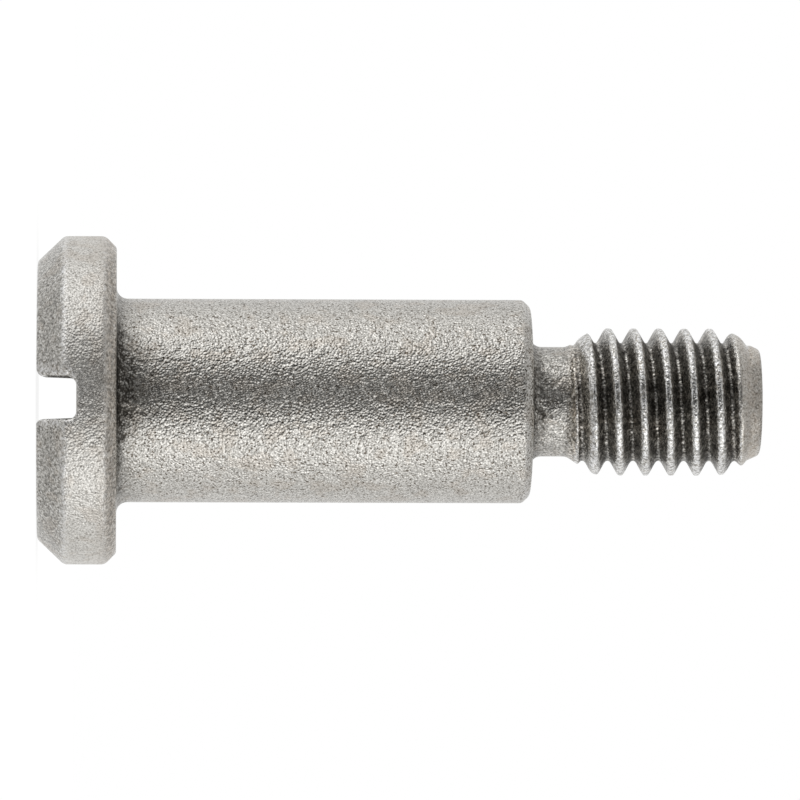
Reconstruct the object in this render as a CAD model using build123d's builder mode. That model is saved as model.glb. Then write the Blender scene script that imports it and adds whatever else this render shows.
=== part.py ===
from build123d import *

import os
from math import radians, tan

# A slotted shoulder bolt, turned in one piece, standing on its slotted head.
# Its axis is +Z, and its origin is the centre of the slotted face. The thread
# points up and the slot runs along Y. Sizes are in millimetres and angles are
# in degrees.

# --- Head: a plain disc with a bevelled slotted face -------------------------
head_diameter = 12.9
head_height = 3.1
face_bevel_length = 1.05
face_bevel_depth = 1.0
rim_bevel = 0.45
head_edge_radius = 0.15

# --- Driver slot, cut right across the head ----------------------------------
slot_width = 1.67
slot_depth = 1.55
slot_offset = 0.08
slot_draft = 2.0
slot_floor_radius = 0.16
slot_edge_chamfer = 0.1

# --- Shoulder: the plain bearing barrel --------------------------------------
shoulder_diameter = 8.0
shoulder_length = 16.25
shoulder_chamfer = 0.3
shoulder_edge_radius = 0.25
underhead_radius = 0.43

# --- Threaded stud, with its relief neck and its tapered ends ----------------
thread_diameter = 5.84
thread_pitch = 1.0
thread_flank_angle = 30.0
stud_length = 9.05
neck_length = 1.35
neck_relief = 0.18
neck_radius = 0.45
entry_angle = 30.0
tip_angle = 29.0
tip_relief = 0.28
tip_edge_radius = 0.2

# --- Thread groove and how it enters the stud --------------------------------
groove_lead = 0.18
groove_start_angle = 40.0
cut_margin = 0.4

# --- Thread form, worked out from the pitch ----------------------------------
crest_flat = thread_pitch / 8
root_flat = thread_pitch / 5
flank_slope = tan(radians(thread_flank_angle))
thread_depth = (thread_pitch - crest_flat - root_flat) / (2 * flank_slope)
flank_overrun = crest_flat / 6

# --- Radii of the turned blank -----------------------------------------------
head_outer = head_diameter / 2
shoulder_outer = shoulder_diameter / 2
thread_outer = thread_diameter / 2
thread_root = thread_outer - thread_depth
neck_outer = thread_root - neck_relief
tip_outer = thread_root - tip_relief

# --- Stations along the axis -------------------------------------------------
shoulder_end = head_height + shoulder_length
entry_start = shoulder_end + neck_length
entry_end = entry_start + (thread_outer - neck_outer) / tan(radians(entry_angle))
tip_end = shoulder_end + stud_length
taper_slope = tan(radians(tip_angle))
draft_slope = tan(radians(slot_draft))
groove_start = entry_start - groove_lead
groove_end = tip_end + thread_pitch

# Corners of the turned outline, as radius, station and rounding of the corner
turned_corners = [
    (head_outer - face_bevel_depth, 0, head_edge_radius),
    (head_outer, face_bevel_length, head_edge_radius),
    (head_outer, head_height - rim_bevel, head_edge_radius),
    (head_outer - rim_bevel, head_height, head_edge_radius),
    (shoulder_outer, head_height, underhead_radius),
    (shoulder_outer, shoulder_end - shoulder_chamfer, shoulder_edge_radius),
    (shoulder_outer - shoulder_chamfer, shoulder_end, shoulder_edge_radius),
    (neck_outer, shoulder_end, neck_radius),
    (neck_outer, entry_start, 0),
    (thread_outer, entry_end, 0),
    (thread_outer, groove_end, 0),
]

# The thread groove is one right-hand helical sweep of a flat-bottomed vee. It
# starts over the neck and ends past the tip, so it runs in and out on the tapers.
with BuildPart() as groove:
    with BuildLine() as groove_path:
        Helix(
            pitch=thread_pitch,
            height=groove_end - groove_start,
            radius=thread_root,
            center=(0, 0, groove_start),
        )
    half_root = root_flat / 2
    flank_outer = thread_outer + flank_overrun
    half_mouth = half_root + (flank_outer - thread_root) * flank_slope
    mouth_radius = thread_outer + cut_margin
    groove_plane = Plane(origin=(0, 0, groove_start), x_dir=(1, 0, 0), z_dir=(0, -1, 0))
    with BuildSketch(groove_plane) as groove_section:
        with BuildLine():
            Polyline(
                (thread_root, -half_root),
                (flank_outer, -half_mouth),
                (mouth_radius, -half_mouth),
                (mouth_radius, half_mouth),
                (flank_outer, half_mouth),
                (thread_root, half_root),
                close=True,
            )
        make_face()
    sweep(path=groove_path.line, is_frenet=True)

with BuildPart() as shoulder_bolt:
    # The blank is one outline, turned about the axis, with spare stock at the tip
    with BuildSketch(Plane.XZ):
        with BuildLine():
            outline = FilletPolyline(
                (0, 0),
                *[(radius, station) for radius, station, _ in turned_corners],
                (0, groove_end),
                radius=[rounding for _, _, rounding in turned_corners],
            )
            Line(outline @ 1, outline @ 0)
        make_face()
    revolve(axis=Axis.Z)

    # The thread is cut round the stud
    add(groove.part, rotation=(0, 0, groove_start_angle), mode=Mode.SUBTRACT)

    # The tip is turned down to a blunt taper
    taper_outer = thread_outer + cut_margin
    with BuildSketch(Plane.XZ):
        with BuildLine():
            taper = FilletPolyline(
                (0, tip_end),
                (tip_outer, tip_end),
                (taper_outer, tip_end - (taper_outer - tip_outer) / taper_slope),
                radius=[tip_edge_radius],
            )
            Polyline(
                taper @ 1,
                (taper_outer, groove_end + cut_margin),
                (0, groove_end + cut_margin),
                taper @ 0,
            )
        make_face()
    revolve(axis=Axis.Z, mode=Mode.SUBTRACT)

    # The slot narrows by its draft from the mouth to the floor
    mouth_half = slot_width / 2 + cut_margin * draft_slope
    floor_half = slot_width / 2 - slot_depth * draft_slope
    with BuildSketch(Plane.XZ) as slot_section:
        with BuildLine():
            Polyline(
                (-slot_offset - mouth_half, -cut_margin),
                (-slot_offset - floor_half, slot_depth),
                (-slot_offset + floor_half, slot_depth),
                (-slot_offset + mouth_half, -cut_margin),
                close=True,
            )
        make_face()
        fillet(slot_section.vertices().group_by(Axis.Z)[-1], radius=slot_floor_radius)
    extrude(amount=head_outer + cut_margin, both=True, mode=Mode.SUBTRACT)

    # The slot's outline is broken all round, but not its inner corners
    slot_edges = shoulder_bolt.edges(Select.LAST)
    inner_corners = slot_edges.filter_by(Axis.Y).filter_by_position(
        Axis.Z, slot_depth / 2, slot_depth
    )
    chamfer(slot_edges - inner_corners, length=slot_edge_chamfer)

shoulder_bolt.part.label = "shoulder_bolt"

os.makedirs("parts", exist_ok=True)
export_step(shoulder_bolt.part, "parts/shoulder_bolt.step")
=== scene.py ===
"""Slotted shoulder bolt: the finished look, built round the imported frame."""

import logging
from dataclasses import dataclass, field
from enum import Enum
from math import acos, asin, ceil, cos, pi, radians, sin, tan

import bmesh
import bpy
import numpy as np
from mathutils import Matrix, Vector, geometry


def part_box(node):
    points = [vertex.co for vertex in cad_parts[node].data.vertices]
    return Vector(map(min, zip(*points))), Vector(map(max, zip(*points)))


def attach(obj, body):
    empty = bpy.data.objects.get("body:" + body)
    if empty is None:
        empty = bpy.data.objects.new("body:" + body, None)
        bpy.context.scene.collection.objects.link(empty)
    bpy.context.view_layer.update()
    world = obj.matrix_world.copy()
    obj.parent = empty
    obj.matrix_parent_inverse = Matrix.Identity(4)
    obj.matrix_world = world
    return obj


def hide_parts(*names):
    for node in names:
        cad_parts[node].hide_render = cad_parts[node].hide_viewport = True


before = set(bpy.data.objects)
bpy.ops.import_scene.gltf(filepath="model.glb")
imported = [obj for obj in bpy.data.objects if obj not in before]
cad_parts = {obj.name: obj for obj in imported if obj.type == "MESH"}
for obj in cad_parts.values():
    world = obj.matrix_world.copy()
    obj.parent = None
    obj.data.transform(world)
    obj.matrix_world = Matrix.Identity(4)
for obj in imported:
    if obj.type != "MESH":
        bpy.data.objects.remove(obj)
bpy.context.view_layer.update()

NODE = "shoulder_bolt"
BODY = "root"
MM = 0.001

log = logging.getLogger("shoulder_bolt")

Array = np.ndarray
Point = tuple[float, float]
Colour = tuple[float, float, float, float]
Inputs = dict[str | int, object]
Socket = bpy.types.NodeSocket

# The wear mark also holds a painted highlight on the slot's lip, and the dirt mark holds painted shade as
# well as dirt.
MARKS = ("wear_and_sheen", "dirt_and_shade", "stain", "smooth", "haze", "grit")
SAME_POINT = 1e-6
FILL_OUTLINE = 1
TRIANGLE_HEIGHT = 3**0.5 / 2


def smooth_min(a: Array, b: Array | float, reach: float | Array) -> Array:
    """Give the lower of two heights, eased within the reach of where they cross."""
    mix = np.clip(0.5 + 0.5 * (b - a) / reach, 0.0, 1.0)
    return b + (a - b) * mix - reach * mix * (1.0 - mix)


def smooth_max(a: Array, b: Array | float, reach: float | Array) -> Array:
    """Give the higher of two heights, eased within the reach of where they cross."""
    return -smooth_min(-a, -b, reach)


def rounded_max(a: Array, b: Array, radius: float | Array) -> Array:
    """Give the higher of two signed distances, with their shared edge rounded."""
    outside = np.hypot(np.maximum(a + radius, 0), np.maximum(b + radius, 0))
    return np.minimum(np.maximum(a, b), -radius) + outside


def ramp(value: Array, start: float | Array, span: float) -> Array:
    """Climb from 0 at the start to 1 a span further on."""
    return np.clip((value - start) / span, 0.0, 1.0)


def between(value: Array, low: float, high: float, span: float) -> Array:
    """Climb from 0 to 1 over a span past the low end, and drop back over a span before the high end."""
    return ramp(value, low, span) * ramp(-value, -high, span)


def bell(gap: Array, reach: float | Array) -> Array:
    """Fall from 1 at no gap towards 0 past the reach."""
    return np.exp(-((gap / reach) ** 2))


def closer_at_ends(length: float, offsets: tuple[float, ...], steps: int) -> Array:
    """Space places along a length, closer at its ends.

    Args:
        length: The whole length.
        offsets: Places near each end, counted from it, the nearest first.
        steps: How many even steps lie between the last of them.

    Returns:
        Places from 0 to the length.
    """
    ends = np.array((0.0,) + offsets[:-1])
    middle = np.linspace(offsets[-1], length - offsets[-1], steps + 1)
    return np.concatenate((ends, middle, length - ends[::-1]))


def polar(points: Array) -> tuple[Array, Array, Array]:
    """Split positions into radius, angle from +X and station."""
    return np.hypot(points[:, 0], points[:, 1]), np.arctan2(points[:, 1], points[:, 0]), points[:, 2]


def staggered(radius: float, spacing: float) -> Array:
    """Lay out points in staggered rows inside a circle.

    Args:
        radius: The circle's radius.
        spacing: The gap between neighbours.

    Returns:
        X and Y of each point.
    """
    count = ceil(radius / spacing / TRIANGLE_HEIGHT)
    row, column = np.mgrid[-count : count + 1, -count : count + 1]
    points = np.stack((column + row % 2 / 2, row * TRIANGLE_HEIGHT), 2).reshape(-1, 2) * spacing
    return points[np.hypot(*points.T) < radius]


def place_object(name: str, data: bpy.types.ID) -> bpy.types.Object:
    """Put a mesh, lamp or camera into the scene as an object of its own."""
    made = bpy.data.objects.new(name, data)
    bpy.context.collection.objects.link(made)
    return made


class Side(Enum):
    """The two lugs that the slot leaves, named by where they stand."""

    PLUS_X = 1.0
    MINUS_X = -1.0


@dataclass(frozen=True)
class Corner:
    """A corner of a turned outline, with the rounding that it gets."""

    radius: float
    station: float
    rounding: float = 0.0
    steps: int = 3


class Outline:
    """A turned outline of straight runs and rounded corners, in millimetres."""

    def __init__(self, corners: list[Corner]) -> None:
        """Work out each run and arc.

        Args:
            corners: The outline's corners, in order.
        """
        self.runs: list[tuple[Array, Array]] = []
        self.arcs: list[Array] = []
        points = [np.array((c.radius, c.station)) for c in corners]
        start = points[0]
        for before, here, after, corner in zip(points, points[1:], points[2:], corners[1:]):
            arc = self._arc(before, here, after, corner)
            self.runs.append((start, arc[0]))
            self.arcs.append(arc)
            start = arc[-1]
        self.runs.append((start, points[-1]))

    @staticmethod
    def _arc(before: Array, here: Array, after: Array, corner: Corner) -> Array:
        """Round one corner.

        Args:
            before: The corner before it.
            here: The corner itself.
            after: The corner after it.
            corner: Its rounding and how many steps the arc takes.

        Returns:
            The arc's points, or the bare corner where it has no rounding.
        """
        if corner.rounding == 0.0:
            return np.array([here])
        into = (here - before) / np.linalg.norm(here - before)
        out = (after - here) / np.linalg.norm(after - here)
        turn = acos(float(np.clip(into @ out, -1.0, 1.0)))
        reach = corner.rounding * tan(turn / 2)
        inward = (out - into) / np.linalg.norm(out - into)
        centre = here + inward * corner.rounding / cos(turn / 2)
        first = here - into * reach - centre
        side = 1.0 if into[0] * out[1] - into[1] * out[0] > 0 else -1.0
        points = []
        for step in range(corner.steps + 1):
            angle = side * turn * step / corner.steps
            rotate = np.array([[cos(angle), -sin(angle)], [sin(angle), cos(angle)]])
            points.append(centre + rotate @ first)
        return np.array(points)

    def rows(self, first: int, last: int, spacing: float) -> list[Point]:
        """List the rows from one run to another, with the arcs between them.

        Args:
            first: The first run's number.
            last: The last run's number.
            spacing: The longest step along a straight run.

        Returns:
            Radius and station of each row, each given once.
        """
        rows: list[Point] = []
        for number in range(first, last + 1):
            start, end = self.runs[number]
            steps = max(1, ceil(float(np.linalg.norm(end - start)) / spacing))
            for step in range(steps + 1):
                rows.append(tuple(start + (end - start) * step / steps))
            if number < last:
                rows.extend(self.arc(number))
        unique = [rows[0]]
        for row in rows[1:]:
            if np.hypot(row[0] - unique[-1][0], row[1] - unique[-1][1]) > SAME_POINT:
                unique.append(row)
        return unique

    def arc(self, number: int) -> list[Point]:
        """List the rows of one rounded corner."""
        return [tuple(point) for point in self.arcs[number]]


def turned_row(radius: float, station: float, angles: Array) -> Array:
    """Return a row of points round the axis."""
    return np.stack((radius * np.cos(angles), radius * np.sin(angles), np.full_like(angles, station)), 1)


@dataclass
class Head:
    """The slotted head: a disc with a bevelled face and a bevelled rim."""

    diameter: float
    height: float = 3.1
    face_bevel_length: float = 1.05
    face_bevel_depth: float = 1.0
    rim_bevel: float = 0.45
    face_edge_radius: float = 0.3
    side_edge_radius: float = 0.36
    underside_edge_radius: float = 0.2
    slot_width: float = 1.67
    slot_depth: float = 1.55
    slot_offset: float = 0.08
    slot_draft: float = 2.0
    slot_floor_radius: float = 0.26
    slot_edge_radius: float = 0.2
    worn_slot_edge_radius: float = 0.32
    worn_slot_end_radius: float = 0.46
    floor_edge_radius: float = 0.08
    floor_edge_span: float = 0.3

    def corners(self) -> list[Corner]:
        """Lay out the head's share of the turned outline.

        Returns:
            Its corners, from the slotted face to the underside.
        """
        outer = self.diameter / 2
        return [
            Corner(outer - self.face_bevel_depth, 0.0, self.face_edge_radius, 4),
            Corner(outer, self.face_bevel_length, self.side_edge_radius, 4),
            Corner(outer, self.height - self.rim_bevel, self.side_edge_radius, 4),
            Corner(outer - self.rim_bevel, self.height, self.underside_edge_radius),
        ]

    def wall(self, station: float, side: Side) -> float:
        """Return the X of a lug's slot wall at a height above the slotted face."""
        half = self.slot_width / 2 - station * tan(radians(self.slot_draft))
        return -self.slot_offset + side.value * half

    def mouth_radius(self, points: Array) -> Array:
        """Give the rounding of the slot's edges.

        Args:
            points: Positions, in millimetres.

        Returns:
            The rounding at each position, small at the floor and largest on the worn lug on -X.
        """
        share = np.clip(0.5 - (points[:, 0] + self.slot_offset) / self.slot_width, 0.0, 1.0)
        depth = ramp(points[:, 2], self.floor_edge_span, self.floor_edge_span)
        worn = self.worn_slot_edge_radius + (self.worn_slot_end_radius - self.worn_slot_edge_radius) * depth
        wall = self.slot_edge_radius + (worn - self.slot_edge_radius) * share
        floor = ramp(points[:, 2], self.slot_depth - self.floor_edge_span, self.floor_edge_span)
        return wall + (self.floor_edge_radius - wall) * floor

    def slot_distance(self, points: Array) -> Array:
        """Measure how far points lie outside the slot's cutter.

        Args:
            points: Positions, in millimetres.

        Returns:
            Signed distances, negative inside the slot.
        """
        slope = tan(radians(self.slot_draft))
        across = np.abs(points[:, 0] + self.slot_offset)
        half = self.slot_width / 2 - points[:, 2] * slope
        wall = (across - half) * cos(radians(self.slot_draft))
        return rounded_max(wall, points[:, 2] - self.slot_depth, self.slot_floor_radius)


@dataclass
class Shoulder:
    """The plain bearing barrel between head and stud."""

    diameter: float = 8.0
    length: float = 16.25
    end_chamfer: float = 0.3
    edge_radius: float = 0.27
    underhead_radius: float = 0.43

    def corners(self, start: float) -> list[Corner]:
        """Lay out the shoulder's share of the turned outline.

        Args:
            start: The station of the head's underside.

        Returns:
            Its corners, from the head to the neck.
        """
        outer = self.diameter / 2
        end = start + self.length
        return [
            Corner(outer, start, self.underhead_radius, 7),
            Corner(outer, end - self.end_chamfer, self.edge_radius),
            Corner(outer - self.end_chamfer, end, self.edge_radius),
        ]


@dataclass
class Stud:
    """The threaded stud, with its relief neck and its two tapers."""

    start: float
    tip: float
    thread_diameter: float = 5.84
    pitch: float = 1.0
    root_diameter: float = 4.64
    neck_diameter: float = 4.31
    neck_length: float = 1.35
    neck_radius: float = 0.45
    entry_start: float = 1.44
    entry_angle: float = 34.0
    tip_diameter: float = 4.14
    tip_angle: float = 24.5
    tip_length: float = 0.5
    shoulder_angle: float = 50.0
    chamfer_diameter: float = 4.28
    chamfer_angle: float = 29.0
    chamfer_reach: float = 0.06
    tip_edge_radius: float = 0.2
    flank_angle: float = 29.0
    crest_station: float = 3.58
    run_in_lag: float = 0.12
    run_in_cut: float = 0.1
    run_in_blend: float = 0.2
    first_groove_end: float = 2.45
    crest_reach: float = 0.07
    root_reach: float = 0.13
    run_in_reach: float = 0.1
    entry_reach: float = 0.3
    run_out_reach: float = 0.32
    run_out_span: float = 0.3
    run_out_least: float = 0.1
    neck_reach: float = 0.09
    row_lead: float = 0.35
    tip_land: float = 0.2
    pitch_rows: tuple[float, ...] = (0.0, 0.035, 0.07, 0.11, 0.17, 0.24, 0.31, 0.37, 0.415, 0.46)

    def corners(self) -> list[Corner]:
        """Return the corners of the neck's share of the turned outline."""
        neck = self.neck_diameter / 2
        return [Corner(neck, self.start, self.neck_radius, 7), Corner(neck, self.zone_start)]

    def tip_corners(self) -> list[Corner]:
        """Lay out the tip's share of the turned outline.

        Returns:
            Its corners, from the tip taper to the flat end.
        """
        tip = self.tip_diameter / 2
        return [
            Corner(float(self.taper_radius(self.zone_end)), self.zone_end),
            Corner(tip, self.tip, self.tip_edge_radius, 5),
            Corner(tip - self.tip_edge_radius, self.tip),
        ]

    @property
    def zone_start(self) -> float:
        """Return the station on the plain neck where the helical rows start."""
        return self.start + self.neck_length - self.row_lead

    @property
    def zone_end(self) -> float:
        """Return the station on the tip taper where the helical rows end."""
        return self.tip - self.tip_land

    def taper_radius(self, station: float | Array) -> float | Array:
        """Give the tip taper's radius.

        Args:
            station: Height above the slotted face.

        Returns:
            The radius there: a land, a steep shoulder behind it, then the chamfer that trims the crests.
        """
        back = self.tip - station
        land = self.tip_diameter / 2 + np.minimum(back, self.tip_length) * tan(radians(self.tip_angle))
        rise = np.maximum(back - self.tip_length, 0.0) * tan(radians(self.shoulder_angle))
        chamfer = self.chamfer_diameter / 2 + back * tan(radians(self.chamfer_angle))
        return smooth_min(land + rise, chamfer, self.chamfer_reach)

    def entry_radius(self, station: Array) -> Array:
        """Give the entry taper's radius.

        Args:
            station: Height above the slotted face.

        Returns:
            The radius there, eased out of the neck and into the crests.
        """
        neck = self.neck_diameter / 2
        rise = (station - self.start - self.entry_start) * tan(radians(self.entry_angle))
        taper = smooth_max(neck + rise, np.full_like(rise, neck), self.neck_reach)
        return smooth_min(taper, self.thread_diameter / 2, self.entry_reach)

    def blank(self, station: Array) -> Array:
        """Give the radius that the thread's crests reach at each station."""
        tapers = np.minimum(self.entry_radius(station), self.taper_radius(station))
        return np.minimum(tapers, self.thread_diameter / 2)

    def turns(self, angle: Array, station: Array) -> Array:
        """Count turns from the thread's crest line, so that crests give whole numbers."""
        lag = self.run_in_lag * self.run_in(angle, station)
        return (station - self.start - self.crest_station - lag) / self.pitch - angle / (2 * pi)

    def run_in(self, angle: Array, station: Array) -> Array:
        """Give the share of the thread's start at each place.

        Args:
            angle: Angle round the axis, in radians from +X.
            station: Height above the slotted face.

        Returns:
            Shares from 1, in the first groove on the -X side, to 0 on the +X side and past the first crest.
        """
        along = np.mod(angle, 2 * pi) / (2 * pi) - 0.5
        past_crest = station - self.start - self.crest_station - (along - 1.5) * self.pitch
        return (1.0 - 2.0 * np.abs(along)) * ramp(-past_crest, -self.run_in_blend / 2, self.run_in_blend)

    def first_groove(self, angle: Array, station: Array) -> Array:
        """Give the share of the first groove, from 0 where it starts or past it to 1 on the +X side."""
        before_crest = ramp(-station, -self.start - self.first_groove_end, self.run_in_blend)
        return before_crest * (1.0 - self.run_in(angle, station))

    def flank(self, angle: Array, station: Array) -> Array:
        """Give the radius of the thread's flanks, carried on past crest and root.

        Args:
            angle: Angle round the axis, in radians from +X.
            station: Height above the slotted face.

        Returns:
            The radius at each place.
        """
        turns = self.turns(angle, station)
        offset = np.abs(turns - np.round(turns)) * self.pitch
        middle = (self.root_diameter + self.thread_diameter) / 4
        cut = self.run_in_cut * self.run_in(angle, station)
        return middle - cut + (self.pitch / 4 - offset) / tan(radians(self.flank_angle))

    def radius(self, angle: Array, station: Array) -> Array:
        """Give the stud's radius, thread and tapers included.

        Args:
            angle: Angle round the axis, in radians from +X.
            station: Height above the slotted face.

        Returns:
            The radius at each place.
        """
        cut = self.run_in_cut * self.run_in(angle, station)
        root, crest = self.root_diameter / 2, self.thread_diameter / 2
        flank = self.flank(angle, station)
        thread = smooth_max(smooth_min(flank, crest, self.crest_reach), root - cut, self.root_reach)
        fade = np.clip((self.zone_end - station) / self.run_out_span, self.run_out_least, 1.0)
        thread = smooth_min(thread, self.taper_radius(station), self.run_out_reach * fade)
        thread = smooth_min(thread, self.entry_radius(station), self.run_in_reach)
        return np.maximum(thread, np.minimum(self.neck_diameter / 2, self.taper_radius(station)))


@dataclass
class Columns:
    """The angles of the mesh's columns, which line up with the slot's walls."""

    head: Head
    lug_steps: int = 96
    gap_steps: int = 14
    edge_offsets: tuple[float, ...] = (0.05, 0.1, 0.16, 0.24, 0.34, 0.47)
    gap_offsets: tuple[float, ...] = (0.05, 0.1, 0.17, 0.26)

    def lug_fractions(self) -> Array:
        """Space the columns along a lug's arc.

        Returns:
            Places from 0 to 1, closer at the arc's ends.
        """
        outer = self.head.diameter / 2
        wall = self.head.wall(self.head.slot_depth, Side.PLUS_X)
        length = outer * (pi - 2 * asin(wall / outer))
        return closer_at_ends(length, self.edge_offsets, self.lug_steps) / length

    def gap_places(self) -> Array:
        """Space the lines across the slot's floor.

        Returns:
            The X of each line, from +X to -X.
        """
        start, end = (self.head.wall(self.head.slot_depth, side) for side in Side)
        inner = self.gap_steps - 2 * len(self.gap_offsets)
        return start - closer_at_ends(start - end, self.gap_offsets, inner)

    def lug_angles(self, side: Side, radius: float, station: float) -> Array:
        """Give the angles of a lug's columns on one row.

        Args:
            side: The lug.
            radius: The row's radius.
            station: The row's height above the slotted face.

        Returns:
            Angles in radians, counter-clockwise, from slot wall to slot wall.
        """
        lean = asin(abs(self.head.wall(station, side)) / radius)
        first = lean - side.value * pi / 2
        return first + (pi - 2 * lean) * self.lug_fractions()

    def ring_angles(self) -> Array:
        """Space the columns all round.

        Returns:
            Angles in radians, counter-clockwise from the slot's -Y end.
        """
        outer = self.head.diameter / 2
        right, left = (self.lug_angles(side, outer, self.head.slot_depth) for side in Side)
        back = np.arccos(self.gap_places()[1:-1] / outer)
        return np.concatenate((right, back, left, 2 * pi - back[::-1]))


@dataclass
class MeshDraft:
    """Vertices and faces gathered from grids, in millimetres."""

    points: list[Array] = field(default_factory=list)
    faces: list[tuple[int, ...]] = field(default_factory=list)
    count: int = 0

    def add(self, points: Array) -> int:
        """Add vertices.

        Args:
            points: Positions, one row each.

        Returns:
            The number of the first one.
        """
        first = self.count
        self.points.append(points)
        self.count += len(points)
        return first

    def grid(self, points: Array) -> None:
        """Add a grid of quads.

        Args:
            points: Positions, by row and column.
        """
        rows, columns = points.shape[:2]
        first = self.add(points.reshape(-1, 3))
        corner = first + np.arange(rows - 1)[:, None] * columns + np.arange(columns - 1)[None, :]
        quads = np.stack((corner, corner + 1, corner + columns + 1, corner + columns), 2)
        self.faces.extend(map(tuple, quads.reshape(-1, 4).tolist()))

    def patch(self, outline: Array, inner: Array, station: float) -> None:
        """Fill a flat outline with triangles.

        Args:
            outline: X and Y of the outline's points, in order.
            inner: X and Y of points inside it.
            station: The patch's height.
        """
        flat = [Vector(point) for point in np.concatenate((outline, inner))]
        size = len(outline)
        edges = [(number, (number + 1) % size) for number in range(size)]
        made, _, faces, *_ = geometry.delaunay_2d_cdt(flat, edges, [], FILL_OUTLINE, SAME_POINT)
        first = self.add(np.array([(point.x, point.y, station) for point in made]))
        self.faces.extend(tuple(first + number for number in face) for face in faces)

    def welded(self, reach: float) -> bmesh.types.BMesh:
        """Join the grids along their shared edges.

        Args:
            reach: Vertices nearer than this become one.

        Returns:
            One closed skin with its faces turned outwards.
        """
        skin = bmesh.new()
        made = [skin.verts.new(point) for point in np.concatenate(self.points).tolist()]
        for face in self.faces:
            skin.faces.new([made[number] for number in face])
        bmesh.ops.remove_doubles(skin, verts=skin.verts, dist=reach)
        bmesh.ops.recalc_face_normals(skin, faces=skin.faces)
        return skin


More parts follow.
